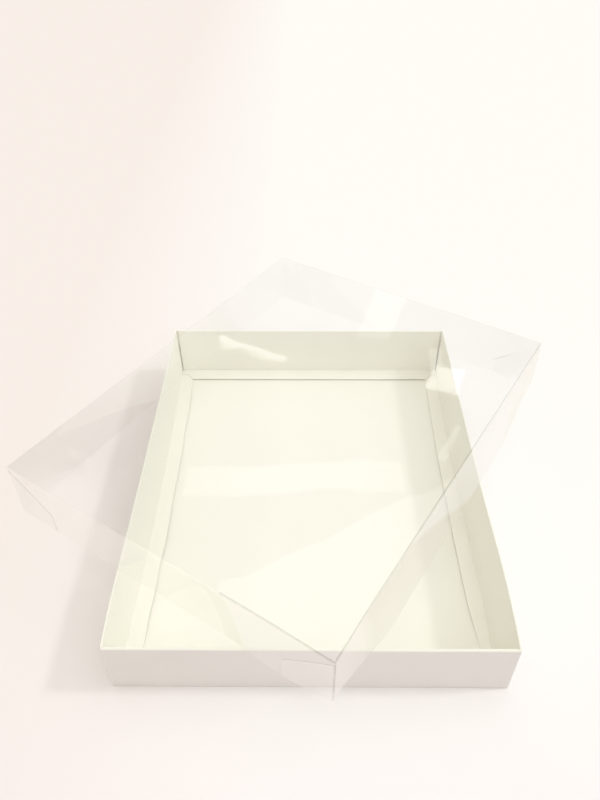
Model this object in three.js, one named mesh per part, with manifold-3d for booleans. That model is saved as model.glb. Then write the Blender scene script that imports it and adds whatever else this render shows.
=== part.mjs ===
// A flat gift box: a white tray folded from one card blank, with its walls rolled over and its feet on the floor,
// under a clear lid folded from one plastic blank. The lid lies turned across the tray's rim, its skirt on the card.
// Millimetres, +Z up. The origin is the middle of the tray's underside, +Y runs along the tray's length.
import * as THREE from "three";
import { mergeVertices } from "three/addons/utils/BufferGeometryUtils.js";
import Module from "manifold-3d";

const wasm = await Module();
wasm.setup();

// The tray, outside.
const TRAY_WIDTH = 220;
const TRAY_LENGTH = 285;
const TRAY_HEIGHT = 40;

// The tray's card and how its layers lie.
const CARD = 0.5;
const CARD_INNER_BEND = 0.4;
const RIM_SLACK = 0.1; // room between the corner tabs and the inner walls, inside the rim
const TAB_CLEARANCE = 0.2; // above and below a corner tab
const HINGE_GAP = 0.2;

// The rolled-over inner walls and their feet.
const END_FOOT_INSET = 4.2; // from the tray's end face to the crease between inner wall and foot
const SIDE_FOOT_INSET = 1.7; // the same crease of a long side, at the tray's ends, where it is held flat
const SIDE_WALL_BELLY = 2.6; // how much further in that crease stands at the middle of the side
const SIDE_FOOT_WIDTH = 10;
const SIDE_FOOT_SETBACK = 5; // from the tray's end face to the foot's cut end
const END_FOOT_WIDTH = 12.5;
const END_FOOT_SHOULDER = 6.2; // width of the narrow stretch at each end of an end foot
const SHOULDER_REACH = 4.7; // length of that narrow stretch, along the crease
const SHOULDER_CHAMFER = 5.1; // along the crease, from the narrow stretch to the full width
const CORNER_SLIT = 1; // open slit between an end's inner wall and a side's inner wall
const CARD_TAB_LENGTH = 24;

// The lid's clear sheet.
const SHEET = 0.3;
const SHEET_OUTER_BEND = 0.8;
const SHEET_GAP = 0.1; // between the lid's pieces, which share no face because the lid is turned
const LID_CLEARANCE = 1.5; // each side, between the tray's outer face and the skirt
const LID_HEIGHT = 39;
const LID_TAB_LENGTH = 29;
const LID_TAB_SLOPE = THREE.MathUtils.degToRad(37);
const LID_TAB_RELIEF = 3.7; // from the lid's top to a corner tab's highest point, cut away so that the corner folds

// How the lid lies on the tray.
const LID_TURN = THREE.MathUtils.degToRad(-32.46);
const LID_SHIFT = new THREE.Vector2(-6, 11.9);

const BEND_STEPS = 6;
const QUARTER = Math.PI / 2;

const CARD_OUTER_BEND = CARD_INNER_BEND + CARD;
const RIM_WIDTH = 3 * CARD + RIM_SLACK; // outer wall, corner tab and inner wall, side by side
const RIM_REACH = RIM_WIDTH - CARD; // from the outer face to the rim's inner crease
const SIDE_WALL_START = Math.max(CARD + CARD_OUTER_BEND, RIM_REACH); // from the tray's end face
const SIDE_FOOT_TOP = 2 * CARD;
const END_FOOT_TOP = SIDE_FOOT_TOP + CARD; // an end foot lies over the ends of the side feet

const LID_WIDTH = TRAY_WIDTH + 2 * (LID_CLEARANCE + SHEET);
const LID_LENGTH = TRAY_LENGTH + 2 * (LID_CLEARANCE + SHEET);
const SIDE_SKIRT_START = SHEET + SHEET_OUTER_BEND + 2 * SHEET_GAP; // from the lid's end face

const whiteCard = new THREE.MeshStandardMaterial({ color: 0xf3f1e6, roughness: 0.62, metalness: 0 });
const clearSheet = new THREE.MeshStandardMaterial({
  color: 0xfafcfc,
  roughness: 0.06,
  metalness: 0,
  transparent: true,
  opacity: 0.22,
});

// Adds a named mesh to a group.
function addPiece(group, name, geometry, material) {
  const mesh = new THREE.Mesh(geometry, material);
  mesh.name = name;
  group.add(mesh);
  return mesh;
}

// A profile drawn in Y and Z, drawn out along X and centred on X = 0.
function alongX(profile, length) {
  const geometry = new THREE.ExtrudeGeometry(profile, {
    depth: length,
    bevelEnabled: false,
    curveSegments: BEND_STEPS,
  });
  geometry.translate(0, 0, -length / 2);
  const x = new THREE.Vector3(1, 0, 0);
  const y = new THREE.Vector3(0, 1, 0);
  const z = new THREE.Vector3(0, 0, 1);
  return geometry.applyMatrix4(new THREE.Matrix4().makeBasis(y, z, x));
}

// A plan drawn in X and Y, drawn up from one height to another.
function upright(plan, bottom, top) {
  const geometry = new THREE.ExtrudeGeometry(plan, {
    depth: top - bottom,
    bevelEnabled: false,
    curveSegments: BEND_STEPS,
  });
  return geometry.translate(0, 0, bottom);
}

function polygon(points) {
  return new THREE.Shape(points.map(([x, y]) => new THREE.Vector2(x, y)));
}

function flatPanel(halfWidth, halfLength, bottom, top) {
  const outline = [
    [-halfWidth, -halfLength],
    [halfWidth, -halfLength],
    [halfWidth, halfLength],
    [-halfWidth, halfLength],
  ];
  return upright(polygon(outline), bottom, top);
}

// A three.js geometry as a closed solid for cutting, and back.
function toSolid(geometry) {
  const bare = geometry.clone();
  bare.deleteAttribute("normal");
  bare.deleteAttribute("uv");
  const merged = mergeVertices(bare);
  return new wasm.Manifold(
    new wasm.Mesh({
      numProp: 3,
      vertProperties: merged.attributes.position.array,
      triVerts: new Uint32Array(merged.index.array),
    }),
  );
}

function toGeometry(solid) {
  const mesh = solid.getMesh();
  const geometry = new THREE.BufferGeometry();
  geometry.setAttribute("position", new THREE.BufferAttribute(mesh.vertProperties, 3));
  geometry.setIndex(new THREE.BufferAttribute(mesh.triVerts, 1));
  return geometry;
}

// The four sides of a box. Each side's group has X along the wall, +Y inwards from its outer face and +Z up.
function boxSides(width, length) {
  return {
    front: { at: [0, -length / 2], turn: 0, span: width },
    right: { at: [width / 2, 0], turn: QUARTER, span: length },
    back: { at: [0, length / 2], turn: 2 * QUARTER, span: width },
    left: { at: [-width / 2, 0], turn: -QUARTER, span: length },
  };
}

function sideGroup(side) {
  const group = new THREE.Group();
  group.position.set(side.at[0], side.at[1], 0);
  group.rotation.z = side.turn;
  return group;
}

// Outer card wall: folded up from the floor, and folded in at the rim as far as the rim's inner crease.
function outerWallProfile() {
  const b = CARD_OUTER_BEND;
  const profile = new THREE.Shape();
  profile.moveTo(b, 0);
  profile.absarc(b, b, b, -QUARTER, -2 * QUARTER, true);
  profile.lineTo(0, TRAY_HEIGHT - b);
  profile.absarc(b, TRAY_HEIGHT - b, b, 2 * QUARTER, QUARTER, true);
  profile.lineTo(RIM_REACH, TRAY_HEIGHT);
  profile.lineTo(RIM_REACH, TRAY_HEIGHT - CARD);
  profile.lineTo(b, TRAY_HEIGHT - CARD);
  profile.absarc(b, TRAY_HEIGHT - b, CARD_INNER_BEND, QUARTER, 2 * QUARTER, false);
  profile.lineTo(CARD, b);
  profile.absarc(b, b, CARD_INNER_BEND, 2 * QUARTER, 3 * QUARTER, false);
  return profile;
}

// An inner wall hangs from the rim's inner crease, A, and leans in to the foot's crease, B.
// A is on the face that is hidden between the walls, B on the face that shows.
function innerWallLine(footInset, footTop) {
  const a = new THREE.Vector2(RIM_REACH, TRAY_HEIGHT - CARD);
  const b = new THREE.Vector2(footInset, footTop);
  const apart = b.clone().sub(a);
  const length = Math.sqrt(apart.lengthSq() - CARD * CARD);
  const lean = Math.atan2(apart.x, -apart.y) - Math.asin(CARD / apart.length());
  return { a, b, length, lean };
}

// Where a side's foot crease stands in from the tray's outer face, at a place along the side.
function sideFootInset(along) {
  const fromMiddle = (2 * along) / TRAY_LENGTH;
  return SIDE_FOOT_INSET + SIDE_WALL_BELLY * (1 - fromMiddle * fromMiddle);
}

// Places along a side at which its belly is drawn. They include the ends of its foot.
function sideStations() {
  const footEnd = TRAY_LENGTH / 2 - SIDE_FOOT_SETBACK;
  const wallEnd = TRAY_LENGTH / 2 - RIM_REACH;
  const half = [footEnd * 0.25, footEnd * 0.5, footEnd * 0.75, footEnd, wallEnd];
  return [...half.map((x) => -x).reverse(), 0, ...half];
}

// How far an inner side wall's shown face stands from the tray's outer face at a height, by the tray's ends.
function sideFaceInset(height) {
  const { b, lean } = innerWallLine(SIDE_FOOT_INSET, SIDE_FOOT_TOP);
  return b.x - (height - b.y) * Math.tan(lean);
}

// Side inner wall with the round of the rim's inner crease above it and of the foot's crease below it.
function sideInnerWallProfile(footInset) {
  const { a, b, lean } = innerWallLine(footInset, SIDE_FOOT_TOP);
  const profile = new THREE.Shape();
  profile.moveTo(a.x, a.y + CARD);
  profile.absarc(a.x, a.y, CARD, QUARTER, lean, true);
  profile.lineTo(b.x, b.y);
  profile.lineTo(b.x, b.y - CARD);
  profile.absarc(b.x, b.y, CARD, 3 * QUARTER, 2 * QUARTER + lean, true);
  profile.lineTo(a.x, a.y);
  return profile;
}

// Side inner wall, drawn through its profiles from one end of the side to the other.
function sideInnerWallGeometry() {
  const stations = sideStations();
  const rings = stations.map((x) => {
    const ring = sideInnerWallProfile(sideFootInset(x)).getPoints(BEND_STEPS);
    return THREE.ShapeUtils.isClockWise(ring) ? ring.reverse() : ring;
  });
  const around = rings[0].length;
  const corners = rings.flatMap((ring, i) => ring.flatMap((point) => [stations[i], point.x, point.y]));
  const faces = [];
  for (let i = 0; i + 1 < stations.length; i += 1) {
    for (let j = 0; j < around; j += 1) {
      const next = (j + 1) % around;
      const [a, b] = [i * around + j, i * around + next];
      faces.push(a, b, b + around, a, b + around, a + around);
    }
  }
  const lastRing = (stations.length - 1) * around;
  for (const [p, q, r] of THREE.ShapeUtils.triangulateShape(rings[0], [])) faces.push(p, r, q);
  for (const [p, q, r] of THREE.ShapeUtils.triangulateShape(rings.at(-1), [])) {
    faces.push(lastRing + p, lastRing + q, lastRing + r);
  }
  const geometry = new THREE.BufferGeometry();
  geometry.setAttribute("position", new THREE.Float32BufferAttribute(corners, 3));
  geometry.setIndex(faces);
  return geometry;
}

// A side foot follows the wall's belly, and its ends are cut at a slope.
function sideFootPlan() {
  const root = TRAY_LENGTH / 2 - SIDE_FOOT_SETBACK;
  const tip = root - SIDE_FOOT_WIDTH;
  const nearEdge = sideStations().filter((x) => Math.abs(x) <= root);
  const farEdge = [-tip, ...sideStations().filter((x) => Math.abs(x) < tip), tip];
  return polygon([
    ...nearEdge.map((x) => [x, sideFootInset(x)]),
    ...farEdge.reverse().map((x) => [x, sideFootInset(x) + SIDE_FOOT_WIDTH]),
  ]);
}

// End inner wall as a flat trapezoid, its foot of the wall at Y = 0. Its ends keep a slit to the leaning side walls.
function endInnerWallPlan(span) {
  const { b, length, lean } = innerWallLine(END_FOOT_INSET, END_FOOT_TOP);
  const halfWidthAt = (up) => span / 2 - sideFaceInset(b.y + up * Math.cos(lean)) - CORNER_SLIT;
  const bottom = HINGE_GAP;
  const top = length - HINGE_GAP;
  return polygon([
    [-halfWidthAt(bottom), bottom],
    [halfWidthAt(bottom), bottom],
    [halfWidthAt(top), top],
    [-halfWidthAt(top), top],
  ]);
}

function endFootPlan(span) {
  const root = span / 2 - sideFaceInset(END_FOOT_TOP - CARD) - CORNER_SLIT;
  const shoulder = root - SHOULDER_REACH;
  const full = shoulder - SHOULDER_CHAMFER;
  return polygon([
    [-root, HINGE_GAP],
    [root, HINGE_GAP],
    [root, END_FOOT_SHOULDER],
    [shoulder, END_FOOT_SHOULDER],
    [full, END_FOOT_WIDTH],
    [-full, END_FOOT_WIDTH],
    [-shoulder, END_FOOT_SHOULDER],
    [-root, END_FOOT_SHOULDER],
  ]);
}

// Plan of a corner tab: it leaves the end of a side wall, turns the corner and runs inside the end wall.
// The corner of the two outer faces is the plan's origin, X runs along the end wall and Y along the side wall.
function cornerTabPlan({ thickness, gap, outerBend, start, tabLength }) {
  const outer = thickness + gap;
  const bendY = outer + outerBend;
  const plan = new THREE.Shape();
  plan.moveTo(thickness, start);
  plan.lineTo(0, start);
  plan.lineTo(0, bendY);
  plan.absarc(outerBend, bendY, outerBend, 2 * QUARTER, 3 * QUARTER, false);
  plan.lineTo(tabLength, outer);
  plan.lineTo(tabLength, outer + thickness);
  plan.lineTo(outerBend, outer + thickness);
  plan.absarc(outerBend, bendY, outerBend - thickness, 3 * QUARTER, 2 * QUARTER, true);
  return plan;
}

// One group per corner, mirrored so that the corner tab's plan fits each of the four.
function cornerGroups(width, length) {
  const corners = {};
  for (const end of ["front", "back"]) {
    for (const side of ["left", "right"]) {
      const group = new THREE.Group();
      const sx = side === "left" ? 1 : -1;
      const sy = end === "front" ? 1 : -1;
      group.position.set((-sx * width) / 2, (-sy * length) / 2, 0);
      group.scale.set(sx, sy, 1);
      corners[`${end}_${side}`] = group;
    }
  }
  return corners;
}

function buildTray() {
  const tray = new THREE.Group();
  const floorHalfWidth = TRAY_WIDTH / 2 - CARD_OUTER_BEND;
  const floorHalfLength = TRAY_LENGTH / 2 - CARD_OUTER_BEND;
  addPiece(tray, "tray_floor", flatPanel(floorHalfWidth, floorHalfLength, 0, CARD), whiteCard);

  const sides = boxSides(TRAY_WIDTH, TRAY_LENGTH);
  for (const name of ["front", "back"]) addEndWall(tray, name, sides[name]);
  for (const name of ["left", "right"]) addSideWall(tray, name, sides[name]);

  const tabPlan = cornerTabPlan({
    thickness: CARD,
    gap: 0,
    outerBend: CARD_OUTER_BEND,
    start: SIDE_WALL_START,
    tabLength: CARD_TAB_LENGTH,
  });
  const tabBottom = CARD_OUTER_BEND + TAB_CLEARANCE;
  const tabTop = TRAY_HEIGHT - CARD_OUTER_BEND - TAB_CLEARANCE;
  for (const [name, group] of Object.entries(cornerGroups(TRAY_WIDTH, TRAY_LENGTH))) {
    addPiece(group, `corner_tab_${name}`, upright(tabPlan, tabBottom, tabTop), whiteCard);
    tray.add(group);
  }
  return tray;
}

// An end of the tray: its outer wall is fixed, its inner wall and foot fold on their creases.
function addEndWall(tray, name, side) {
  const group = sideGroup(side);
  addPiece(group, `${name}_outer_wall`, alongX(outerWallProfile(), side.span), whiteCard);

  const { b, lean } = innerWallLine(END_FOOT_INSET, END_FOOT_TOP);
  const inner = addPiece(
    group,
    `${name}_inner_wall`,
    upright(endInnerWallPlan(side.span), 0, CARD),
    whiteCard,
  );
  inner.position.set(0, b.x, b.y);
  inner.rotation.x = QUARTER + lean;

  const foot = addPiece(group, `${name}_foot`, upright(endFootPlan(side.span), -CARD, 0), whiteCard);
  foot.position.set(0, b.x, b.y);
  tray.add(group);
}

// A long side of the tray: outer wall, inner wall and foot, all held down by the two end feet.
function addSideWall(tray, name, side) {
  const group = sideGroup(side);
  const outerLength = side.span - 2 * SIDE_WALL_START;
  addPiece(group, `${name}_outer_wall`, alongX(outerWallProfile(), outerLength), whiteCard);
  addPiece(group, `${name}_inner_wall`, sideInnerWallGeometry(), whiteCard);
  const foot = upright(sideFootPlan(), SIDE_FOOT_TOP - CARD, SIDE_FOOT_TOP);
  addPiece(group, `${name}_foot`, foot, whiteCard);
  tray.add(group);
}

// Skirt wall of the lid: it hangs from the top panel's fold to the open lower edge.
function skirtProfile() {
  const b = SHEET_OUTER_BEND;
  const profile = new THREE.Shape();
  profile.moveTo(0, 0);
  profile.lineTo(0, LID_HEIGHT - b);
  profile.absarc(b, LID_HEIGHT - b, b, 2 * QUARTER, QUARTER, true);
  profile.lineTo(b, LID_HEIGHT - SHEET);
  profile.absarc(b, LID_HEIGHT - b, b - SHEET, QUARTER, 2 * QUARTER, false);
  profile.lineTo(SHEET, 0);
  return profile;
}

// A lid corner tab is highest at its fold, and its upper edge slopes down from there.
function lidTabGeometry() {
  const top = LID_HEIGHT - LID_TAB_RELIEF;
  const plan = cornerTabPlan({
    thickness: SHEET,
    gap: SHEET_GAP,
    outerBend: SHEET_OUTER_BEND,
    start: SIDE_SKIRT_START - SHEET_GAP,
    tabLength: LID_TAB_LENGTH,
  });
  const whole = toSolid(upright(plan, 0, top));
  const past = 2 * LID_TAB_LENGTH;
  const drop = past * Math.tan(LID_TAB_SLOPE);
  const waste = polygon([
    [-past, top],
    [SHEET_OUTER_BEND, top],
    [SHEET_OUTER_BEND + past, top - drop],
    [SHEET_OUTER_BEND + past, top + past],
    [-past, top + past],
  ]);
  const wedge = new THREE.ExtrudeGeometry(waste, { depth: 2 * past, bevelEnabled: false });
  wedge.translate(0, 0, -past);
  wedge.rotateX(QUARTER);
  return toGeometry(whole.subtract(toSolid(wedge)));
}

function buildLid() {
  const lid = new THREE.Group();
  const inset = SHEET_OUTER_BEND + SHEET_GAP;
  const top = flatPanel(LID_WIDTH / 2 - inset, LID_LENGTH / 2 - inset, LID_HEIGHT - SHEET, LID_HEIGHT);
  addPiece(lid, "lid_top_panel", top, clearSheet);

  for (const [name, side] of Object.entries(boxSides(LID_WIDTH, LID_LENGTH))) {
    const isEnd = name === "front" || name === "back";
    const group = sideGroup(side);
    const length = isEnd ? side.span : side.span - 2 * SIDE_SKIRT_START;
    addPiece(group, `lid_${name}_wall`, alongX(skirtProfile(), length), clearSheet);
    lid.add(group);
  }

  for (const [name, group] of Object.entries(cornerGroups(LID_WIDTH, LID_LENGTH))) {
    addPiece(group, `lid_tab_${name}`, lidTabGeometry(), clearSheet);
    lid.add(group);
  }
  lid.position.set(LID_SHIFT.x, LID_SHIFT.y, TRAY_HEIGHT);
  lid.rotation.z = LID_TURN;
  return lid;
}

const giftBox = new THREE.Group();
giftBox.add(buildTray(), buildLid());

export default giftBox;
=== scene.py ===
import math

import bmesh
import bpy
from mathutils import Matrix, Vector, noise


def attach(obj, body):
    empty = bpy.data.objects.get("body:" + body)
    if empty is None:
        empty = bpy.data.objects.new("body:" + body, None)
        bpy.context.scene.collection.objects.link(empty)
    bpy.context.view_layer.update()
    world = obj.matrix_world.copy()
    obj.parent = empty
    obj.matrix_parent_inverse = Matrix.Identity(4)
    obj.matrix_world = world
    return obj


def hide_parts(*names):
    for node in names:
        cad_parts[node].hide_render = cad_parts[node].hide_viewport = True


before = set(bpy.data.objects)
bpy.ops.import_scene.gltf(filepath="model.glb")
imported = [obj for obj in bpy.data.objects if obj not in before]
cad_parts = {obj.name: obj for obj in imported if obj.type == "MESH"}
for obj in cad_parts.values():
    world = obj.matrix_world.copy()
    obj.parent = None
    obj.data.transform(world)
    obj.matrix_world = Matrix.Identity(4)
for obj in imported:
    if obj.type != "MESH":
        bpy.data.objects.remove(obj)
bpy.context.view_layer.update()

MM = 0.001

# Camera
# It looks down over the front of the tray, a little to the left of its middle,
# from a phone's height above the table.
CAMERA_PLACE = Vector((-2.90, -332.86, 380.77)) * MM
CAMERA_HEADING = math.radians(0.595)
CAMERA_TILT = math.radians(48.725)
CAMERA_ROLL = math.radians(-0.269)
CAMERA_LENS = 31.75
CAMERA_SENSOR = 36

camera_data = bpy.data.cameras.new("camera")
camera_data.lens = CAMERA_LENS
camera_data.sensor_width = CAMERA_SENSOR
camera_data.clip_start = 10 * MM
camera = bpy.data.objects.new("camera", camera_data)
bpy.context.scene.collection.objects.link(camera)
heading = Matrix.Rotation(CAMERA_HEADING, 4, "Z")
tilt = Matrix.Rotation(CAMERA_TILT, 4, "X")
roll = Matrix.Rotation(CAMERA_ROLL, 4, "Z")
camera.matrix_world = Matrix.Translation(CAMERA_PLACE) @ heading @ tilt @ roll
bpy.context.scene.camera = camera

# Tray floor and corner tabs
# The middle panel of the tray's blank, and the tabs on the ends of its long walls.
# Half a millimetre of white clay-coated card, die-cut and creased. The solids keep their shape.
CARD = 0.5 * MM
CARD_WHITE = (0.955, 0.946, 0.866)
# The outer faces' copy of the card is darker and rosier: partly painted shade, partly the outside's own
# less yellow colour.
CARD_OUTSIDE_PAINTED_SHADE = (0.860, 0.822, 0.790)
CARD_EDGE = (0.930, 0.915, 0.815)
CARD_CREASE = (0.965, 0.955, 0.865)
COATED_ROUGHNESS = (0.50, 0.66)
CUT_ROUGHNESS = (0.80, 0.95)
CREASED_ROUGHNESS = (0.42, 0.60)
CARD_SHEEN = 0.35
FIBRE_BUMP = 0.35
# Each noise has its features to a metre, its detail and its distortion.
MOTTLE = (42, 4, 0.3)
FIBRES = (1500, 3, 0.8)
# A noise seldom leaves this range.
NOISE_LOW = 0.3
NOISE_HIGH = 0.7
CORNERS = ("front_left", "front_right", "back_left", "back_right")


def shade(colour, amount):
    return tuple(channel * amount for channel in colour) + (1,)


def add_node(owner, kind, **values):
    """A node in the tree of a material or of the world, with its plain values set."""
    node = owner.node_tree.nodes.new(kind)
    for name, value in values.items():
        node.inputs[name].default_value = value
    return node


def number_ramp(owner, value, low, high, to_low=0.0, to_high=1.0):
    """A number that runs from to_low to to_high while the value runs from low to high."""
    limits = {"From Min": low, "From Max": high, "To Min": to_low, "To Max": to_high}
    span = add_node(owner, "ShaderNodeMapRange", **limits)
    owner.node_tree.links.new(value, span.inputs["Value"])
    return span.outputs["Result"]


def place_on_piece(material):
    return add_node(material, "ShaderNodeTexCoord").outputs["Object"]


def object_noise(material, per_metre, detail, distortion):
    """A noise that stays on the piece, with so many features to a metre."""
    grain = add_node(material, "ShaderNodeTexNoise", Scale=per_metre, Detail=detail, Distortion=distortion)
    material.node_tree.links.new(place_on_piece(material), grain.inputs["Vector"])
    return grain.outputs["Fac"]


def between(material, factor, low, high):
    """A number that runs from low to high as a noise does."""
    return number_ramp(material, factor, NOISE_LOW, NOISE_HIGH, low, high)


def tone(material, factor, dark, light):
    """A colour that runs from dark to light as a noise does."""
    ramp = add_node(material, "ShaderNodeValToRGB")
    ramp.color_ramp.elements[0].position = NOISE_LOW
    ramp.color_ramp.elements[0].color = dark
    ramp.color_ramp.elements[1].position = NOISE_HIGH
    ramp.color_ramp.elements[1].color = light
    material.node_tree.links.new(factor, ramp.inputs["Fac"])
    return ramp.outputs["Color"]


def white_card(name, colour, variation, fibre_depth, roughness):
    """Coated card: a soft mottle in the coating, and short fibres just under it."""
    material = bpy.data.materials.new(name)
    material.use_nodes = True
    links = material.node_tree.links
    shader = material.node_tree.nodes["Principled BSDF"]
    shader.inputs["Specular IOR Level"].default_value = CARD_SHEEN
    mottle = object_noise(material, *MOTTLE)
    coating = tone(material, mottle, shade(colour, 1 - variation), shade(colour, 1))
    links.new(coating, shader.inputs["Base Color"])
    fibres = object_noise(material, *FIBRES)
    links.new(between(material, fibres, *roughness), shader.inputs["Roughness"])
    bump = add_node(material, "ShaderNodeBump", Strength=FIBRE_BUMP, Distance=fibre_depth)
    links.new(fibres, bump.inputs["Height"])
    links.new(bump.outputs["Normal"], shader.inputs["Normal"])
    return material


card_face = white_card("white_card", CARD_WHITE, 0.014, 0.03 * MM, COATED_ROUGHNESS)
# Partly painted shade: the outer faces get a darker copy of the card than the inside.
card_outside_painted_shade = white_card("white_card_outside_painted_shade", CARD_OUTSIDE_PAINTED_SHADE, 0.020, 0.03 * MM, COATED_ROUGHNESS)
card_edge = white_card("card_cut_edge", CARD_EDGE, 0.08, 0.09 * MM, CUT_ROUGHNESS)
card_crease = white_card("card_crease", CARD_CREASE, 0.03, 0.05 * MM, CREASED_ROUGHNESS)

for node_name in ["tray_floor"] + ["corner_tab_" + corner for corner in CORNERS]:
    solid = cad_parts[node_name]
    solid.data.materials.clear()
    solid.data.materials.append(card_face)

# Outer walls
# Folded up from the tray floor and in again over the rim, as far as the rim's inner crease.
# The end walls are as wide as the tray. The long walls stand between them, on their corner tabs.
TRAY_WIDTH = 220 * MM
TRAY_LENGTH = 285 * MM
TRAY_HEIGHT = 40 * MM
FOLD_ROUND = 0.9 * MM
FOLD_STEPS = 5
SMOOTH_UP_TO = math.radians(35)
RIM_REACH = 1.1 * MM
SIDE_RIM_REACH = 0.5 * MM
RIM_BAND = 0.8 * MM
SIDE_WALL_START = 1.4 * MM
WALL_CUTS = (48, 8)
WALL_BOW = 0.35 * MM
# How far a long side's rim stands out: all along, and more at a distance from the front.
RIM_SPLAY = {
    "left": (0.55 * MM, 0.75 * MM, 36 * MM),
    "right": (0.25 * MM, 1.25 * MM, 48 * MM),
}
SPLAY_SPREAD = 44 * MM
SPLAY_START = 16 * MM
SPLAY_AT_CORNER = 0.3
FRONT_BELLY = 0.25 * MM
FRONT_BELLY_PLACE = 52 * MM
FRONT_BELLY_SPREAD = 34 * MM
# A point this close to a line lies on it, and points this close to each other are one.
ON_LINE = 0.01 * MM
ONE_POINT = 0.02 * MM
SIDES = {
    "front": (0, TRAY_LENGTH, TRAY_WIDTH),
    "right": (math.pi / 2, TRAY_WIDTH, TRAY_LENGTH),
    "back": (math.pi, TRAY_LENGTH, TRAY_WIDTH),
    "left": (-math.pi / 2, TRAY_WIDTH, TRAY_LENGTH),
}


def ease(value):
    """Rises smoothly from 0 to 1 while the value does."""
    value = min(max(value, 0.0), 1.0)
    return value * value * (3 - 2 * value)


def hump(along, place, spread):
    """A smooth hump of height 1 round a place."""
    return math.exp(-(((along - place) / spread) ** 2))


def take_up(piece):
    bpy.ops.object.select_all(action="DESELECT")
    piece.select_set(True)
    bpy.context.view_layer.objects.active = piece


def settle(piece):
    """Puts a piece's place, turn and size into its mesh."""
    take_up(piece)
    bpy.ops.object.transform_apply(location=True, rotation=True, scale=True)


def flat_panel(name, size, cuts, place, tilt_angle=0.0):
    """A flat panel, added at its size and place, with X along the fold that it hangs from."""
    bpy.ops.object.select_all(action="DESELECT")
    bpy.ops.mesh.primitive_grid_add(x_subdivisions=cuts[0], y_subdivisions=cuts[1], size=1)
    piece = bpy.context.object
    piece.name = name
    piece.data.name = name
    piece.scale = (size[0], size[1], 1)
    piece.rotation_euler.x = tilt_angle
    piece.location = place
    settle(piece)
    return piece


def pick_edges(piece, wanted):
    """Selects the edges of the piece in hand whose two ends are both where wanted says."""
    bpy.ops.mesh.select_all(action="DESELECT")
    bpy.ops.mesh.select_mode(type="EDGE")
    mesh = bmesh.from_edit_mesh(piece.data)
    for edge in mesh.edges:
        if all(wanted(corner.co) for corner in edge.verts):
            edge.select_set(True)
    bmesh.update_edit_mesh(piece.data)


def fold_round(piece, wanted, crease, angle, axis=(1, 0, 0)):
    """Carries the edges round a crease, as a folded sheet runs round it. Spin itself turns clockwise."""
    pick_edges(piece, wanted)
    bpy.ops.mesh.spin(steps=FOLD_STEPS, angle=-angle, center=crease, axis=axis, use_auto_merge=False)


def run_on(by):
    bpy.ops.mesh.extrude_edges_move(TRANSFORM_OT_translate={"value": by})


def face_out(piece, outward):
    """Merges the seams, then turns the whole sheet so that the face at its middle looks outward."""
    bpy.ops.object.mode_set(mode="EDIT")
    bpy.ops.mesh.select_all(action="SELECT")
    bpy.ops.mesh.remove_doubles(threshold=ONE_POINT)
    bpy.ops.mesh.normals_make_consistent(inside=False)
    bpy.ops.object.mode_set(mode="OBJECT")
    middle = max(piece.data.polygons, key=lambda face: face.area)
    if middle.normal.dot(Vector(outward)) < 0:
        bpy.ops.object.mode_set(mode="EDIT")
        bpy.ops.mesh.select_all(action="SELECT")
        bpy.ops.mesh.flip_normals()
        bpy.ops.object.mode_set(mode="OBJECT")


def lay_up(piece, thickness, face, edge):
    """Gives a sheet its thickness behind the face that shows, with its own finish on the cut edges."""
    take_up(piece)
    piece.data.materials.clear()
    piece.data.materials.append(face)
    piece.data.materials.append(edge)
    layer = piece.modifiers.new("thickness", "SOLIDIFY")
    layer.thickness = thickness
    layer.offset = -1
    layer.use_even_offset = True
    layer.material_offset_rim = 1
    bpy.ops.object.modifier_apply(modifier=layer.name)
    bpy.ops.object.shade_smooth_by_angle(angle=SMOOTH_UP_TO)


def move_points(piece, moved):
    for point in piece.data.vertices:
        point.co = moved(point.co)


def turned(piece, angle):
    """Turns a piece modelled as a front one to its own side of the box."""
    piece.rotation_euler.z = angle
    settle(piece)


def finish_faces(piece, chosen, material):
    """Gives the chosen faces, such as those of a fold, their own finish."""
    piece.data.materials.append(material)
    slot = len(piece.data.materials) - 1
    for face in piece.data.polygons:
        if chosen(face.center):
            face.material_index = slot


def bowed(point, span, amount):
    """A wall's slight belly between its ends and between its two folds."""
    along = math.cos(math.pi * min(abs(point.x) / span, 0.5))
    up = math.sin(math.pi * min(max(point.z / TRAY_HEIGHT, 0), 1))
    return point + Vector((0, amount * along * up, 0))


def rim_shift(along, side):
    """How far a wall's rim stands in from true at a place along it."""
    if side == "front":
        return -FRONT_BELLY * hump(along, FRONT_BELLY_PLACE, FRONT_BELLY_SPREAD)
    if side == "back":
        return 0
    even, swell, place = RIM_SPLAY[side]
    from_front = TRAY_LENGTH / 2 + (along if side == "right" else -along)
    by_corner = SPLAY_AT_CORNER + (1 - SPLAY_AT_CORNER) * ease(from_front / SPLAY_START)
    return -even - swell * hump(from_front, place, SPLAY_SPREAD) * by_corner


def settled_rim(point, side):
    """Moves a wall's point as its rim stands, and less further down."""
    return point + Vector((0, rim_shift(point.x, side) * max(point.z, 0) / TRAY_HEIGHT, 0))


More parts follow.
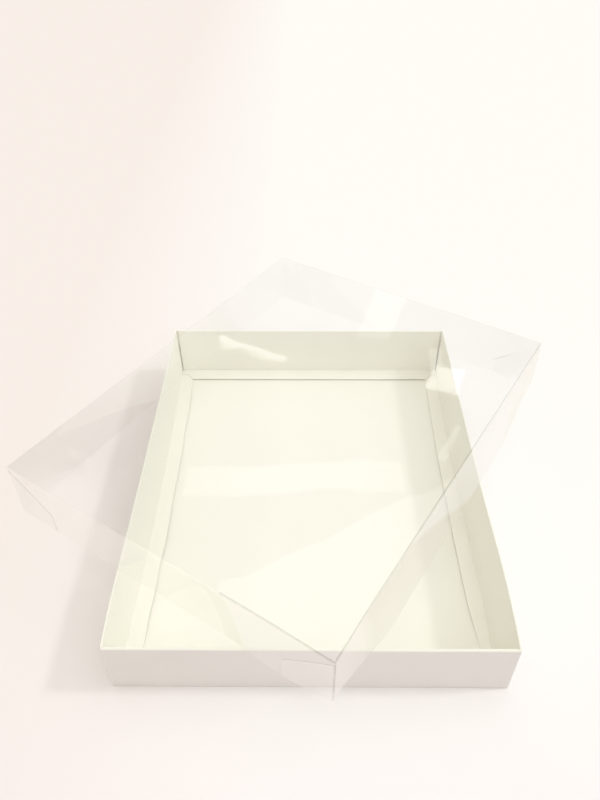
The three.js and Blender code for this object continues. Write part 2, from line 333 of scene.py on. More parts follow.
for side, (turn, across, span) in SIDES.items():
    is_end = side in ("front", "back")
    outer = -across / 2
    rim_round = FOLD_ROUND if is_end else SIDE_RIM_REACH
    top_line = TRAY_HEIGHT - rim_round
    wall_length = span if is_end else span - 2 * SIDE_WALL_START
    middle = (0, outer, (top_line + FOLD_ROUND) / 2)
    wall = flat_panel(
        side + "_wall_outside", (wall_length, top_line - FOLD_ROUND), WALL_CUTS, middle, math.pi / 2
    )
    bpy.ops.object.mode_set(mode="EDIT")
    fold_round(wall, lambda p: p.z > top_line - ON_LINE, (0, outer + rim_round, top_line), -math.pi / 2)
    if is_end:
        run_on((0, RIM_REACH - FOLD_ROUND, 0))
    fold_round(wall, lambda p: p.z < FOLD_ROUND + ON_LINE, (0, outer + FOLD_ROUND, FOLD_ROUND), math.pi / 2)
    bpy.ops.object.mode_set(mode="OBJECT")
    face_out(wall, (0, -1, 0))
    move_points(wall, lambda p: settled_rim(bowed(p, span, WALL_BOW), side))
    # The outer face takes the darker copy of the card, which is partly painted shade.
    lay_up(wall, CARD, card_outside_painted_shade, card_edge)
    finish_faces(wall, lambda c: c.z > TRAY_HEIGHT - RIM_BAND, card_crease)
    turned(wall, turn)
    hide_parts(side + "_outer_wall")
    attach(wall, "tray")

# Inner walls and feet of the long sides
# Rolled over the rim, down inside, and turned in again along the floor as a foot. Card, one face of it.
# The end feet hold these down at both ends. Between them a foot's cut edge springs up a little.
SIDE_FOOT_INSET = 1.7 * MM
SIDE_FOOT_TOP = 1.0 * MM
SIDE_FOOT_WIDTH = 10 * MM
SIDE_FOOT_SETBACK = 5 * MM
SIDE_FOOT_SPRING = {"left": 1.1 * MM, "right": 0.8 * MM}
SIDE_WALL_CUTS = (56, 8)
SIDE_FOOT_CUTS = (72, 5)
SIDE_WALL_BELLY = 2.6 * MM
SIDE_WALL_BOW = 0.4 * MM
RIM_CREASE_HEIGHT = TRAY_HEIGHT - CARD
RIM_CREASE_BAND = 0.1 * MM
# A foot is held down near its ends and free further in. Its free edge waves up and down, and in and out.
FOOT_HELD = 10 * MM
FOOT_COMES_FREE = 30 * MM
SPRING_SHARE = 0.85
SPRING_SWING = 0.25
SPRING_WAVES = 23
SPRING_PHASE = {"left": 0.4, "right": 1.9}
FREE_EDGE_WAVE = {"left": 1.1 * MM, "right": 0.3 * MM}
EDGE_WAVES = 38
EDGE_WAVE_ROW = 2.2
# On the right, by the front corner, the foot's crease is pushed in and its cut edge out.
PINCH = 1.7 * MM
PINCH_PLACE = 22 * MM
PINCH_SPREAD = 20 * MM
PINCH_START = 14 * MM
PINCH_OF_EDGE = 1.9


def rolled_wall_line(reach, foot_inset, foot_top):
    """The lean of an inner wall, and the top and bottom of its shown face, in from the outer face."""
    crease = Vector((reach, RIM_CREASE_HEIGHT))
    foot = Vector((foot_inset, foot_top))
    apart = foot - crease
    lean = math.atan2(apart.x, -apart.y) - math.asin(CARD / apart.length)
    top = crease + CARD * Vector((math.cos(lean), math.sin(lean)))
    return lean, top, foot


def rolled_wall(name, outer, span, reach, foot_inset, foot_top, cuts):
    """An inner wall's shown face with the round of the rim's inner crease over it."""
    lean, top, foot = rolled_wall_line(reach, foot_inset, foot_top)
    middle = (top + foot) / 2
    wall = flat_panel(
        name, (span, (foot - top).length), cuts, (0, outer + middle.x, middle.y), math.pi / 2 + lean
    )
    bpy.ops.object.mode_set(mode="EDIT")
    crease = (0, outer + reach, RIM_CREASE_HEIGHT)
    fold_round(wall, lambda p: p.z > top.y - ON_LINE, crease, math.pi / 2 - lean)
    bpy.ops.object.mode_set(mode="OBJECT")
    face_out(wall, (0, 1, 0))
    return wall


def crease_band(c):
    return c.z > RIM_CREASE_HEIGHT + RIM_CREASE_BAND


def belly(along):
    """How much further in than at the tray's ends a long side's foot crease stands."""
    return SIDE_WALL_BELLY * (1 - (2 * along / TRAY_LENGTH) ** 2)


def pinch(along, side):
    """How far in the foot's crease is pushed at a place along it."""
    if side == "left":
        return 0
    from_front = TRAY_LENGTH / 2 + along
    return PINCH * hump(from_front, PINCH_PLACE, PINCH_SPREAD) * ease(from_front / PINCH_START)


for side in ("left", "right"):
    turn, across, span = SIDES[side]
    outer = -across / 2
    wall_length = span - 2 * RIM_REACH
    wall = rolled_wall(
        side + "_wall_inside", outer, wall_length,
        SIDE_RIM_REACH, SIDE_FOOT_INSET, SIDE_FOOT_TOP, SIDE_WALL_CUTS,
    )

    def side_wall_shape(p):
        down = min(max((RIM_CREASE_HEIGHT - p.z) / (RIM_CREASE_HEIGHT - SIDE_FOOT_TOP), 0), 1)
        carried = p + Vector((0, belly(p.x) * down + pinch(p.x, side) * down ** 2, 0))
        carried.y += rim_shift(p.x, side) * (1 - down)
        at_foot = p.z < SIDE_FOOT_TOP + ON_LINE
        return carried if at_foot else bowed(carried, span, SIDE_WALL_BOW)

    move_points(wall, side_wall_shape)
    lay_up(wall, CARD, card_face, card_edge)
    finish_faces(wall, crease_band, card_crease)
    turned(wall, turn)
    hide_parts(side + "_inner_wall")
    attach(wall, "tray")

    root = TRAY_LENGTH / 2 - SIDE_FOOT_SETBACK
    near = outer + SIDE_FOOT_INSET
    middle = (0, near + SIDE_FOOT_WIDTH / 2, SIDE_FOOT_TOP)
    foot = flat_panel(side + "_foot_turned_in", (2 * root, SIDE_FOOT_WIDTH), SIDE_FOOT_CUTS, middle)

    def foot_shape(p):
        reach = max((p.y - near) / SIDE_FOOT_WIDTH, 0)
        x = p.x * (root - reach * SIDE_FOOT_WIDTH) / root
        free = ease((root - FOOT_HELD - abs(x)) / FOOT_COMES_FREE)
        spring = SIDE_FOOT_SPRING[side] * free * reach
        spring *= SPRING_SHARE + SPRING_SWING * math.sin(SPRING_WAVES * x + SPRING_PHASE[side])
        carried = belly(x) + pinch(x, side) * (1 - PINCH_OF_EDGE * reach)
        swing = noise.noise(Vector((x * EDGE_WAVES, EDGE_WAVE_ROW, 0)))
        carried += FREE_EDGE_WAVE[side] * free * reach * swing
        return Vector((x, p.y + carried, p.z + spring))

    move_points(foot, foot_shape)
    face_out(foot, (0, 0, 1))
    lay_up(foot, CARD, card_face, card_edge)
    turned(foot, turn)
    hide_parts(side + "_foot")
    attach(foot, "tray")

# Inner walls and feet of the ends
# The same roll and foot on the tray's ends. They go in last, over the long sides' feet, and hold them down.
# Each hinges on its rim crease and its foot on the lower crease. Open slits part them from the long sides.
END_FOOT_INSET = 4.2 * MM
END_FOOT_TOP = 1.5 * MM
END_FOOT_WIDTH = 12.5 * MM
END_FOOT_SHOULDER = 6.2 * MM
SHOULDER_REACH = 4.7 * MM
SHOULDER_CHAMFER = 5.1 * MM
CORNER_SLIT = 0.6 * MM
END_WALL_CUTS = (48, 8)
END_WALL_BOW = 0.8 * MM
END_FOOT_CUTS = (1, 2)
END_FOOT_STEPS = 24
END_FOOT_SPRING = 0.3 * MM
END_FOOT_HELD = 14 * MM
END_FOOT_OVERHANG = 4 * MM
BACK_CORNER_SPRING = 1.6 * MM
BACK_CORNER_REACH = 46 * MM


def side_face_inset(height):
    """How far in the long sides' shown faces stand at a height."""
    lean, top, foot = rolled_wall_line(RIM_REACH, SIDE_FOOT_INSET, SIDE_FOOT_TOP)
    return foot.x - (min(height, RIM_CREASE_HEIGHT) - foot.y) * math.tan(lean)


def slice_across(xs):
    for x in xs:
        bpy.ops.mesh.select_all(action="SELECT")
        bpy.ops.mesh.bisect(plane_co=(x, 0, 0), plane_no=(1, 0, 0))


for side in ("front", "back"):
    turn, across, span = SIDES[side]
    outer = -across / 2
    wall = rolled_wall(
        side + "_wall_inside", outer, span, RIM_REACH, END_FOOT_INSET, END_FOOT_TOP, END_WALL_CUTS
    )

    def wall_shape(p):
        half = span / 2 - side_face_inset(p.z) - CORNER_SLIT
        narrowed = Vector((p.x * 2 * half / span, p.y, p.z))
        if p.z < END_FOOT_TOP + ON_LINE:
            return narrowed
        return settled_rim(bowed(narrowed, span, END_WALL_BOW), side)

    move_points(wall, wall_shape)
    lay_up(wall, CARD, card_face, card_edge)
    finish_faces(wall, crease_band, card_crease)
    turned(wall, turn)
    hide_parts(side + "_inner_wall")
    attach(wall, side + "_rolled_wall")

    root = span / 2 - side_face_inset(END_FOOT_TOP - CARD) - CORNER_SLIT
    shoulder = root - SHOULDER_REACH
    full = shoulder - SHOULDER_CHAMFER
    near = outer + END_FOOT_INSET
    middle = (0, near + END_FOOT_SHOULDER / 2, END_FOOT_TOP)
    foot = flat_panel(side + "_foot_turned_in", (2 * root, END_FOOT_SHOULDER), END_FOOT_CUTS, middle)
    bpy.ops.object.mode_set(mode="EDIT")
    slice_across((-shoulder, shoulder))
    free_line = near + END_FOOT_SHOULDER - ON_LINE
    pick_edges(foot, lambda p: p.y > free_line and abs(p.x) < shoulder + ON_LINE)
    run_on((0, END_FOOT_WIDTH - END_FOOT_SHOULDER, 0))
    bpy.ops.transform.resize(value=(full / shoulder, 1, 1))
    slice_across([full * step / END_FOOT_STEPS for step in range(-END_FOOT_STEPS, END_FOOT_STEPS + 1)])
    bpy.ops.object.mode_set(mode="OBJECT")

    def end_foot_shape(p):
        reach = (p.y - near) / END_FOOT_WIDTH
        spring = END_FOOT_SPRING
        if side == "back":
            from_corner = (p.x + root) / BACK_CORNER_REACH
            spring += BACK_CORNER_SPRING * max(1 - from_corner, 0) ** 2
        free = ease((full + END_FOOT_OVERHANG - abs(p.x)) / END_FOOT_HELD)
        return p + Vector((0, 0, spring * free * reach))

    move_points(foot, end_foot_shape)
    face_out(foot, (0, 0, 1))
    lay_up(foot, CARD, card_face, card_edge)
    turned(foot, turn)
    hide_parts(side + "_foot")
    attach(foot, side + "_turned_foot")

# Top panel of the lid
# The middle of one clear plastic blank, 0.3 mm thick, die-cut and creased, then folded up and glued.
# It is nearly flat, with a thumb's dent near one corner, a crease mark near another and a soft buckle.
SHEET = 0.3 * MM
SHEET_ROUND = 0.8 * MM
SHEET_GAP = 0.1 * MM
LID_CLEARANCE = 1.5 * MM
LID_HEIGHT = 39 * MM
LID_WIDTH = TRAY_WIDTH + 2 * (LID_CLEARANCE + SHEET)
LID_LENGTH = TRAY_LENGTH + 2 * (LID_CLEARANCE + SHEET)
LID_TURN = math.radians(-32.46)
LID_PLACE = Vector((-6, 11.9, 40)) * MM
TOP_CUTS = (120, 150)
FLAT_TINT = (0.9985, 0.9985, 0.9970)
SOFT_FOLD_TINT = (0.993, 0.993, 0.990)
# Painted shade: the dark fold's tint draws the dark line that the fold shows on some sides.
DARK_FOLD_PAINTED_SHADE = (0.915, 0.915, 0.912)
EDGE_TINT = (0.980, 0.980, 0.975)
# Painted shade: the tab edge's tint draws dark lines on the front tabs' cut edges.
TAB_EDGE_PAINTED_SHADE = (0.700, 0.695, 0.685)
MARK_TINT = (0.850, 0.850, 0.840)
SHEET_GLOSS = (0.97, 0.97, 0.96)
SHEET_INDEX = 1.5
SOFT_FOLD_INDEX = 1.12
POLISHED = (0.015, 0.05)
SCUFFED = (0.2, 0.4)
HAZE = (30, 3, 0.2)
HAZE_DIMS_TO = 0.998
SCUFFS = (160, 4, 1.2)
RIPPLES = (22, 1.5, 0.4)
RIPPLE_DEPTH = 0.05 * MM
RIPPLE_BUMP = 0.5
# The crease mark's middle, its turn about the upright, and half its length, width and depth.
MARK_MIDDLE = (134.5 * MM, 57.3 * MM, 79 * MM)
MARK_TURN = (0, 0, math.radians(23))
MARK_SIZE = (12.0 * MM, 0.55 * MM, 5 * MM)
# The right skirt bows, so its gloss leans back. Its gloss carries a painted reflection, set by place on the
# skirt:
# a window above a slanted line and by the near corner, and a duller room in between.
SKIRT_LEAN = 0.68
PAINTED_WINDOW_GLOSS = (0.96, 0.94, 0.90)
PAINTED_ROOM_GLOSS = (0.79, 0.75, 0.66)
WINDOW_SLANT = 1.695
WINDOW_LINE = 24 * MM
WINDOW_BLUR = 10 * MM
NEAR_CORNER_LINE = -150 * MM
NEAR_CORNER_BLUR = 12 * MM


def place_along(material, axis):
    """How far a point of the piece lies along an axis, in metres."""
    axes = add_node(material, "ShaderNodeSeparateXYZ")
    material.node_tree.links.new(place_on_piece(material), axes.inputs["Vector"])
    return axes.outputs[axis]


def number_math(owner, operation, first, second):
    both = add_node(owner, "ShaderNodeMath")
    both.operation = operation
    owner.node_tree.links.new(first, both.inputs[0])
    owner.node_tree.links.new(second, both.inputs[1])
    return both


def vector_math(owner, operation, first, second=None):
    both = add_node(owner, "ShaderNodeVectorMath")
    both.operation = operation
    owner.node_tree.links.new(first, both.inputs[0])
    if second is not None:
        both.inputs[1].default_value = second
    return both


def colour_mix(owner, factor, first, second, blend="MIX"):
    """The first colour turned towards the second one, or multiplied by it, as far as the factor says."""
    mix = add_node(owner, "ShaderNodeMixRGB", Color2=second)
    mix.blend_type = blend
    owner.node_tree.links.new(factor, mix.inputs["Fac"])
    if isinstance(first, tuple):
        mix.inputs["Color1"].default_value = first
    else:
        owner.node_tree.links.new(first, mix.inputs["Color1"])
    return mix.outputs["Color"]


def shader_mix(owner, factor, first, second):
    mix = add_node(owner, "ShaderNodeMixShader")
    owner.node_tree.links.new(factor, mix.inputs["Fac"])
    owner.node_tree.links.new(first, mix.inputs[1])
    owner.node_tree.links.new(second, mix.inputs[2])
    return mix.outputs["Shader"]


def with_crease_mark(material, colour):
    """The sheet's colour with a short line where it was once bent, which lets less light through."""
    fit = add_node(material, "ShaderNodeMapping", Location=MARK_MIDDLE, Rotation=MARK_TURN, Scale=MARK_SIZE)
    fit.vector_type = "TEXTURE"
    material.node_tree.links.new(place_on_piece(material), fit.inputs["Vector"])
    spot = add_node(material, "ShaderNodeTexGradient")
    spot.gradient_type = "SPHERICAL"
    material.node_tree.links.new(fit.outputs["Vector"], spot.inputs["Vector"])
    return colour_mix(material, spot.outputs["Fac"], colour, shade(MARK_TINT, 1), "MULTIPLY")


def leant_normal(material, normal):
    """The sheet's own normal, leaning up."""
    leant = vector_math(material, "ADD", normal, (0, 0, SKIRT_LEAN))
    return vector_math(material, "NORMALIZE", leant.outputs["Vector"]).outputs["Vector"]


def painted_window_reflection(material):
    """Painted reflection for the right skirt's gloss, set by place on it: a bright window and a duller
    room.
    """
    slanted = vector_math(material, "DOT_PRODUCT", place_on_piece(material), (0, 1, WINDOW_SLANT))
    above = number_ramp(material, slanted.outputs["Value"], WINDOW_LINE, WINDOW_LINE + WINDOW_BLUR)
    near_end = NEAR_CORNER_LINE + NEAR_CORNER_BLUR
    by_corner = number_ramp(material, place_along(material, "Y"), NEAR_CORNER_LINE, near_end, 1, 0)
    window = number_math(material, "MAXIMUM", above, by_corner)
    return colour_mix(material, window.outputs[0], shade(PAINTED_ROOM_GLOSS, 1), shade(PAINTED_WINDOW_GLOSS, 1))


def clear_sheet(name, tint, roughness, index, marked=False, leant=False):
    """Clear plastic sheet: both its faces mirror, more at a glancing angle, and the rest goes through."""
    material = bpy.data.materials.new(name)
    material.use_nodes = True
    nodes = material.node_tree.nodes
    links = material.node_tree.links
    nodes.remove(nodes["Principled BSDF"])

    haze = object_noise(material, *HAZE)
    colour = tone(material, haze, shade(tint, HAZE_DIMS_TO), shade(tint, 1))
    if marked:
        colour = with_crease_mark(material, colour)
    clear = add_node(material, "ShaderNodeBsdfTransparent")
    links.new(colour, clear.inputs["Color"])

    mirror = add_node(material, "ShaderNodeBsdfGlossy", Color=shade(SHEET_GLOSS, 1))
    scuffs = object_noise(material, *SCUFFS)
    links.new(between(material, scuffs, *roughness), mirror.inputs["Roughness"])
    ripples = object_noise(material, *RIPPLES)
    bump = add_node(material, "ShaderNodeBump", Strength=RIPPLE_BUMP, Distance=RIPPLE_DEPTH)
    links.new(ripples, bump.inputs["Height"])
    links.new(bump.outputs["Normal"], mirror.inputs["Normal"])
    face = add_node(material, "ShaderNodeNewGeometry")
    # The right skirt's gloss leans up, and its colour is a painted reflection of a window and a room.
    if leant:
        links.new(leant_normal(material, face.outputs["Normal"]), bump.inputs["Normal"])
        links.new(painted_window_reflection(material), mirror.inputs["Color"])

    # Light goes straight through, so the face that it leaves by bends it as the face it meets does.
    bend = number_ramp(material, face.outputs["Backfacing"], 0, 1, index, 1 / index)
    fresnel = add_node(material, "ShaderNodeFresnel")
    links.new(bend, fresnel.inputs["IOR"])
    # So clear a sheet leaves next to no shadow.
    rays = add_node(material, "ShaderNodeLightPath")
    share = number_math(material, "SUBTRACT", fresnel.outputs["Fac"], rays.outputs["Is Shadow Ray"])
    share.use_clamp = True
    sheet = shader_mix(material, share.outputs[0], clear.outputs["BSDF"], mirror.outputs["BSDF"])
    links.new(sheet, nodes["Material Output"].inputs["Surface"])
    return material


sheet_flat = clear_sheet("clear_sheet", FLAT_TINT, POLISHED, SHEET_INDEX)
sheet_marked = clear_sheet("clear_sheet_marked", FLAT_TINT, POLISHED, SHEET_INDEX, marked=True)
soft_fold = clear_sheet("clear_sheet_soft_fold", SOFT_FOLD_TINT, SCUFFED, SOFT_FOLD_INDEX)
# Painted shade: this fold finish darkens the light through the fold, for a dark line.
dark_fold_painted_shade = clear_sheet("clear_sheet_dark_fold_painted_shade", DARK_FOLD_PAINTED_SHADE, SCUFFED, SOFT_FOLD_INDEX)
sheet_edge = clear_sheet("clear_sheet_cut_edge", EDGE_TINT, SCUFFED, SOFT_FOLD_INDEX)
# Painted shade: this edge finish lets far less light through, for dark lines.
tab_edge_painted_shade = clear_sheet("clear_sheet_tab_edge_painted_shade", TAB_EDGE_PAINTED_SHADE, SCUFFED, SOFT_FOLD_INDEX)
# Painted reflection: this sheet's gloss colour is set by place on the piece.
leant_sheet_painted_reflection = clear_sheet("clear_sheet_leant_painted_reflection", FLAT_TINT, POLISHED, SHEET_INDEX, leant=True)

# How handling left the lid: a pressed corner, a left side that stands out, and skirts that flare.
PRESSED = 1.7 * MM
PRESSED_REACH = 24 * MM
LEFT_STANDS_OUT = 1.5 * MM
LEFT_REACH = 70 * MM
LEFT_FADES_FROM = 70 * MM
LEFT_FADES_OVER = 210 * MM
FLARE = 5.8 * MM
FLARE_FROM_FRONT = 60 * MM
FLARE_FROM_BACK = 90 * MM
NEAR_FLARE = 2.5 * MM
NEAR_FLARE_PLACE = 84 * MM
NEAR_FLARE_SPREAD = 26 * MM
NEAR_FLARE_START = 14 * MM
FLARE_CURVE = 1.5
SKIRT_DEPTH = 7 * MM
SKIRT_FADE = 4 * MM


def worn(p):
    """Moves a point of the lid to where handling left it."""
    up = max(p.z, 0) / LID_HEIGHT
    down = max(1 - up, 0) ** FLARE_CURVE
    from_corner = (p.xy - Vector((LID_WIDTH / 2, -LID_LENGTH / 2))).length / PRESSED_REACH
    pressed = PRESSED * math.exp(-from_corner * from_corner) * up
    by_left = ease(1 - (p.x + LID_WIDTH / 2) / LEFT_REACH)
    by_front = ease((LEFT_FADES_FROM - p.y) / LEFT_FADES_OVER)
    stands_out = LEFT_STANDS_OUT * by_left * by_front * up * up
    on_right = ease((p.x - LID_WIDTH / 2 + SKIRT_DEPTH) / SKIRT_FADE) * down
    flare = FLARE * ease((p.y + LID_LENGTH / 2) / FLARE_FROM_FRONT)
    flare *= ease((LID_LENGTH / 2 - p.y) / FLARE_FROM_BACK)
    on_front = ease((-p.y - LID_LENGTH / 2 + SKIRT_DEPTH) / SKIRT_FADE) * down
    near_flare = NEAR_FLARE * hump(p.x, NEAR_FLARE_PLACE, NEAR_FLARE_SPREAD)
    near_flare *= ease((LID_WIDTH / 2 - p.x) / NEAR_FLARE_START)
    return Vector((p.x - stands_out + on_right * flare, p.y - on_front * near_flare, p.z - pressed))


def set_on_tray(piece, turn=0.0):
    """Turns a lid piece to its own side, then with the lid to where it lies across the tray's rim."""
    turned(piece, turn)
    move_points(piece, worn)
    piece.rotation_euler.z = LID_TURN
    piece.location = LID_PLACE
    settle(piece)


# What stands out of flat in the top panel. A wave has its height, its waves to a metre along X and Y,
# and its row of the noise. A hollow has its depth, its place, its run and its spread across the run.
TOP_EDGE = 14 * MM
BROAD_WAVE = (0.2 * MM, 14, 11, 3.1)
FINE_WAVE = (0.03 * MM, 45, 38, 7.7)
THUMB_DENT = (0.2 * MM, Vector((-82.4, -117.8)) * MM, Vector((7.6, -3.3)) * MM, 2.6 * MM)
CREASE_DENT = (0.3 * MM, Vector((93.6, 115.3)) * MM, Vector((4.2, 6.3)) * MM, 1.3 * MM)
BUCKLE = (0.02 * MM, Vector((-56, 22.5)) * MM, Vector((24, 3)) * MM, 6 * MM)


def wave(p, height, along_x, along_y, row):
    return height * noise.noise(Vector((p.x * along_x, p.y * along_y, row)))


def hollow(p, depth, place, run, spread):
    """A rounded hollow at a place, long one way and narrow across it."""
    across = Vector((-run.y, run.x)).normalized()
    offset = p.xy - place
    u = offset.dot(run.normalized()) / run.length
    v = offset.dot(across) / spread
    return depth * math.exp(-u * u - v * v)


def top_wave(p):
    """How far the top panel stands out of flat at a place."""
    edge_x = ease((LID_WIDTH / 2 - abs(p.x)) / TOP_EDGE)
    edge_y = ease((LID_LENGTH / 2 - abs(p.y)) / TOP_EDGE)
    waves = wave(p, *BROAD_WAVE) + wave(p, *FINE_WAVE)
    hollows = hollow(p, *THUMB_DENT) + hollow(p, *CREASE_DENT) + hollow(p, *BUCKLE)
    return edge_x * edge_y * waves - hollows


top_size = (LID_WIDTH - 2 * SHEET_ROUND, LID_LENGTH - 2 * SHEET_ROUND)
top_panel = flat_panel("lid_top_sheet", top_size, TOP_CUTS, (0, 0, LID_HEIGHT))
move_points(top_panel, lambda p: p + Vector((0, 0, top_wave(p))))
face_out(top_panel, (0, 0, 1))
lay_up(top_panel, SHEET, sheet_marked, soft_fold)
set_on_tray(top_panel)
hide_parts("lid_top_panel")
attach(top_panel, "lid")

# Skirt of the lid
# The four walls folded down from the top panel, with their cut edges open at the bottom.
# The end walls reach from corner to corner. The long walls stop short and turn in as tabs.
SIDE_SKIRT_START = SHEET + SHEET_ROUND + 2 * SHEET_GAP
SKIRT_CUTS = (60, 9)
SKIRT_WAVE = 0.6 * MM
SKIRT_WAVE_START = 32 * MM
SKIRT_WAVES_ALONG = 13
SKIRT_WAVES_UP = 9
SKIRT_WAVE_ROW = 5.3
PAINTED_SHADE_FOLD_RUN = 68 * MM
HEM = 0.25 * MM
LID_SIDES = {
    "front": (0, LID_LENGTH, LID_WIDTH),
    "right": (math.pi / 2, LID_WIDTH, LID_LENGTH - 2 * SIDE_SKIRT_START),
    "back": (math.pi, LID_LENGTH, LID_WIDTH),
    "left": (-math.pi / 2, LID_WIDTH, LID_LENGTH - 2 * SIDE_SKIRT_START),
}
fold_line = LID_HEIGHT - SHEET_ROUND


def skirt_wave(p, span, row):
    """A skirt wall's slight waviness: none at its fold or its ends, most at the open edge."""
    ends = ease((span / 2 - abs(p.x)) / SKIRT_WAVE_START)
    down = ease((LID_HEIGHT - p.z) / LID_HEIGHT)
    swing = noise.noise(Vector((p.x * SKIRT_WAVES_ALONG, p.z * SKIRT_WAVES_UP, row)))
    return Vector((0, SKIRT_WAVE * ends * down * swing, 0))


for number, (side, (turn, across, span)) in enumerate(LID_SIDES.items()):
    outer = -across / 2
    middle = (0, outer, (fold_line + HEM) / 2)
    skirt = flat_panel("lid_skirt_" + side, (span, fold_line - HEM), SKIRT_CUTS, middle, math.pi / 2)
    bpy.ops.object.mode_set(mode="EDIT")
    crease = (0, outer + SHEET_ROUND, fold_line)
    fold_round(skirt, lambda p: p.z > fold_line - ON_LINE, crease, -math.pi / 2)
    bpy.ops.object.mode_set(mode="OBJECT")
    face_out(skirt, (0, -1, 0))
    move_points(skirt, lambda p: p + skirt_wave(p, span, SKIRT_WAVE_ROW * number))
    # The right skirt gets the sheet with the painted reflection in its gloss.
    lay_up(skirt, SHEET, leant_sheet_painted_reflection if side == "right" else sheet_flat, sheet_edge)

    def on_fold(c):
        return c.z > fold_line and c.y < outer + SHEET_ROUND - ON_LINE

    # Painted shade: by the near corner and along the right side the fold lets less light through, for the
    # dark line that it shows there.
    painted_shade_from = {"front": LID_WIDTH / 2 - PAINTED_SHADE_FOLD_RUN, "right": -span}.get(side, span)
    finish_faces(skirt, on_fold, soft_fold)
    finish_faces(skirt, lambda c: on_fold(c) and c.x > painted_shade_from, dark_fold_painted_shade)
    set_on_tray(skirt, turn)
    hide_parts(f"lid_{side}_wall")
    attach(skirt, "lid")

# Corner tabs of the lid
# Each turns from the end of a long skirt wall round the corner, and is glued inside the end wall.
# It is highest at the fold, and its upper edge is cut at a slope down from there.
LID_TAB_LENGTH = 29 * MM
LID_TAB_SLOPE = math.radians(37)
LID_TAB_RELIEF = 3.7 * MM
TAB_TOP = LID_HEIGHT - LID_TAB_RELIEF
TAB_CUTS = (14, 8)
TAB_EDGE_BAND = 0.3 * MM
TAB_END_BAND = 0.05 * MM
tab_start = -LID_WIDTH / 2 + SHEET_ROUND
tab_run = LID_TAB_LENGTH - SHEET_ROUND
lapped = -LID_LENGTH / 2 + SHEET + SHEET_GAP


def slope_height(from_middle):
    """How high a tab's upper edge is at a place along it."""
    from_fold = LID_WIDTH / 2 - SHEET_ROUND - from_middle
    return TAB_TOP - max(from_fold, 0) * math.tan(LID_TAB_SLOPE)


def tab_shape(p):
    return Vector((p.x, p.y, p.z * slope_height(-p.x) / TAB_TOP))


for corner in CORNERS:
    end, side = corner.split("_")
    middle = (tab_start + tab_run / 2, lapped, TAB_TOP / 2)
    tab = flat_panel("lid_corner_" + corner, (tab_run, TAB_TOP), TAB_CUTS, middle, math.pi / 2)
    bpy.ops.object.mode_set(mode="EDIT")
    crease = (tab_start, lapped + SHEET_ROUND, 0)
    fold_round(tab, lambda p: p.x < tab_start + ON_LINE, crease, -math.pi / 2, axis=(0, 0, 1))
    bpy.ops.object.mode_set(mode="OBJECT")
    move_points(tab, tab_shape)
    if side == "right":
        move_points(tab, lambda p: Vector((-p.x, p.y, p.z)))
    if end == "back":
        move_points(tab, lambda p: Vector((p.x, -p.y, p.z)))
    face_out(tab, (0, -1 if end == "front" else 1, 0))
    lay_up(tab, SHEET, sheet_flat, sheet_edge)
    # The front-right tab's fold carries the same painted shade as the folds beside it.
    finish_faces(tab, lambda c: abs(c.x) > -tab_start, dark_fold_painted_shade if corner == "front_right" else soft_fold)
    # Painted shade: the front tabs' sloping upper edges, and the front-left tab's free end, let far less
    # light through, for the dark lines that these cut edges show.
    if end == "front":
        finish_faces(tab, lambda c: c.z > slope_height(abs(c.x)) - TAB_EDGE_BAND, tab_edge_painted_shade)
    if corner == "front_left":
        finish_faces(tab, lambda c: abs(c.x) < -tab_start - tab_run + TAB_END_BAND, tab_edge_painted_shade)
    set_on_tray(tab)
    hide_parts("lid_tab_" + corner)
    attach(tab, "lid")

# Table
# A pale, matt table top, which isn't part of the box.
# Its colour carries painted light: darker and rosier on the left and towards the front, for the light that
# falls on it there.
TABLE_SIZE = 9
TABLE_ROUGHNESS = 0.8
TABLE_LEFT = (0.905, 0.842, 0.818)
TABLE_RIGHT = (0.960, 0.945, 0.938)
TABLE_FRONT = (0.990, 0.972, 0.988)
TABLE_LEFT_TO_RIGHT = (-360 * MM, 120 * MM)
TABLE_TO_FRONT = (-100 * MM, -200 * MM)

bpy.ops.object.select_all(action="DESELECT")
bpy.ops.mesh.primitive_plane_add(size=TABLE_SIZE)
table = bpy.context.object
table.name = "table"
table_top = bpy.data.materials.new("table_top")
table_top.use_nodes = True
table_shader = table_top.node_tree.nodes["Principled BSDF"]
table_shader.inputs["Roughness"].default_value = TABLE_ROUGHNESS
table_shader.inputs["Specular IOR Level"].default_value = 0.0
# Painted light: the colour runs across the table and towards the front as the light on it does.
sweep = number_ramp(table_top, place_along(table_top, "X"), *TABLE_LEFT_TO_RIGHT)
table_painted_light = tone(table_top, sweep, shade(TABLE_LEFT, 1), shade(TABLE_RIGHT, 1))
nearer = number_ramp(table_top, place_along(table_top, "Y"), *TABLE_TO_FRONT)
table_colour = colour_mix(table_top, nearer, table_painted_light, shade(TABLE_FRONT, 1), "MULTIPLY")
table_top.node_tree.links.new(table_colour, table_shader.inputs["Base Color"])
table.data.materials.append(table_top)

# Light
# A soft dome of light, dimmer towards the room on the left, and a broad soft key from the right.
# The lid's gloss shows a simpler room, with soft panels overhead that nothing else sees.
KEY_STRENGTH = 0.475
KEY_SPREAD = math.radians(6)
KEY_FROM = Vector((1.0, 0.10, 1.05))
FROM_LEFT = (1.0, 0.955, 0.870, 1)
FROM_RIGHT = (1.0, 1.0, 0.990, 1)
ROOM_COLOUR = (1.0, 0.985, 0.965, 1)
BACKDROP = 0.97
# A ray may cross this many faces of clear sheet.
FACES_CROSSED = 24
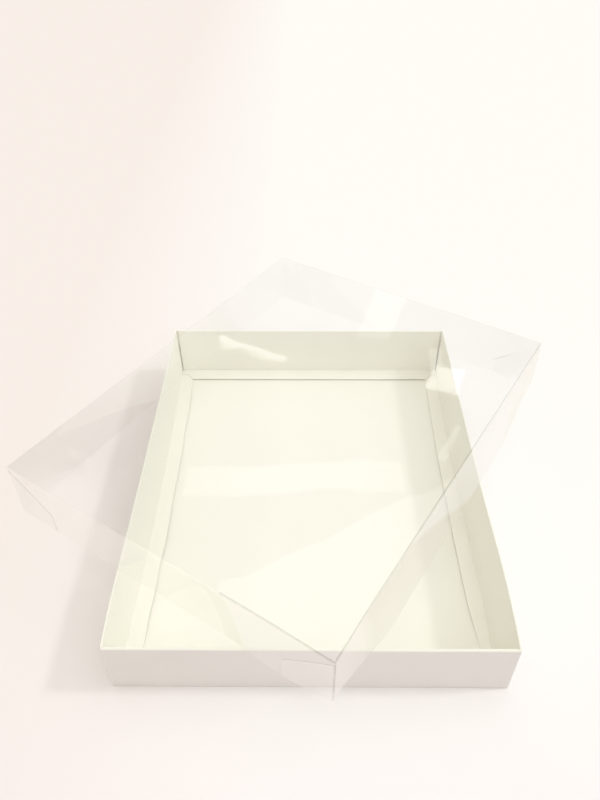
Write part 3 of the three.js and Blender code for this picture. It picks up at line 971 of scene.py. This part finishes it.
# Each runs along one way of looking, between two values of it, from one strength to another.
SKY_RAMPS = {
    "dome": ("Z", 0, 1, 0.28, 1.27),
    "dim_left": ("X", -1, 1, 0.80, 1.20),
    "dim_back": ("Y", -1, 1, 1.08, 0.92),
    "to_right": ("X", -0.8, 0.8, 0, 1),
    "seen_high": ("Z", 0.50, 0.72, 0.92, 1.02),
    "dark_left": ("X", -0.20, -0.03, 0.15, 1.0),
    "paler_back": ("Z", 0.59, 0.66, 0.97, 0.0),
    "far_left": ("X", -0.30, -0.24, 1.0, 0.0),
    "high_front": ("Z", 0.672, 0.712, 0.0, 0.85),
    "dark_right": ("X", 0.10, 0.28, 1.0, 0.66),
    "far_right": ("X", 0.45, 0.60, 0.0, 1.08),
}
PANEL_HEIGHT = 1.5
# Each panel's place, size and turn, and how bright it shows.
PANELS = {
    "window": ((0.424, 0.618), (1.05, 1.02), 31.8, 0.52),
    "band": ((-0.04, 1.245), (0.72, 0.13), 0.0, 0.45),
    "tube": ((-0.22, 1.94), (0.30, 0.036), -25, 1.7),
    "lamp": ((0.53, 1.75), (0.11, 0.16), -20, 2.2),
    "post": ((0.513, 1.86), (0.045, 0.17), -8, 0.9),
    "slat": ((0.490, 1.410), (0.17, 0.013), 62, 1.1),
    "strip": ((0.325, 2.20), (0.15, 0.34), -20, 0.4),
}

key_data = bpy.data.lights.new("key", "SUN")
key_data.energy = KEY_STRENGTH
key_data.angle = KEY_SPREAD
key = bpy.data.objects.new("key", key_data)
bpy.context.scene.collection.objects.link(key)
key.rotation_euler = KEY_FROM.to_track_quat("Z", "Y").to_euler()

sky = bpy.data.worlds.new("studio")
bpy.context.scene.world = sky
sky.use_nodes = True
sky.node_tree.nodes.clear()
way = add_node(sky, "ShaderNodeSeparateXYZ")
sky.node_tree.links.new(add_node(sky, "ShaderNodeTexCoord").outputs["Generated"], way.inputs["Vector"])
ramps = {
    name: number_ramp(sky, way.outputs[axis], *span) for name, (axis, *span) in SKY_RAMPS.items()
}


def sky_product(first, second):
    return number_math(sky, "MULTIPLY", first, second).outputs[0]


def sky_larger(first, second):
    return number_math(sky, "MAXIMUM", first, second).outputs[0]


def sky_background(strength, colour=None):
    """One shell of the sky, of plain or varying strength and colour."""
    background = add_node(sky, "ShaderNodeBackground", Color=ROOM_COLOUR)
    if colour is not None:
        sky.node_tree.links.new(colour, background.inputs["Color"])
    if isinstance(strength, float):
        background.inputs["Strength"].default_value = strength
    else:
        sky.node_tree.links.new(strength, background.inputs["Strength"])
    return background.outputs["Background"]


light_colour = colour_mix(sky, ramps["to_right"], FROM_LEFT, FROM_RIGHT)
light_strength = sky_product(ramps["dome"], sky_product(ramps["dim_left"], ramps["dim_back"]))
lighting = sky_background(light_strength, light_colour)
paler_front = sky_product(ramps["far_left"], ramps["high_front"])
seen_left = sky_larger(sky_larger(ramps["dark_left"], ramps["paler_back"]), paler_front)
seen_right = sky_larger(ramps["dark_right"], ramps["far_right"])
mirrored = sky_background(sky_product(ramps["seen_high"], sky_product(seen_left, seen_right)))
rays = add_node(sky, "ShaderNodeLightPath")
seen = shader_mix(sky, rays.outputs["Is Glossy Ray"], lighting, mirrored)
seen = shader_mix(sky, rays.outputs["Is Camera Ray"], seen, sky_background(BACKDROP))
world_output = add_node(sky, "ShaderNodeOutputWorld")
sky.node_tree.links.new(seen, world_output.inputs["Surface"])

for name, (place, size, turn, radiance) in PANELS.items():
    panel_data = bpy.data.lights.new(name, "AREA")
    panel_data.shape = "RECTANGLE"
    panel_data.size = size[0]
    panel_data.size_y = size[1]
    panel_data.energy = radiance * math.pi * size[0] * size[1]
    panel = bpy.data.objects.new(name, panel_data)
    bpy.context.scene.collection.objects.link(panel)
    panel.location = (*place, PANEL_HEIGHT)
    panel.rotation_euler.z = math.radians(turn)
    panel.visible_diffuse = False
    panel.visible_camera = False
    panel.visible_transmission = False

bpy.context.scene.view_settings.view_transform = "Standard"
bpy.context.scene.cycles.transparent_max_bounces = FACES_CROSSED
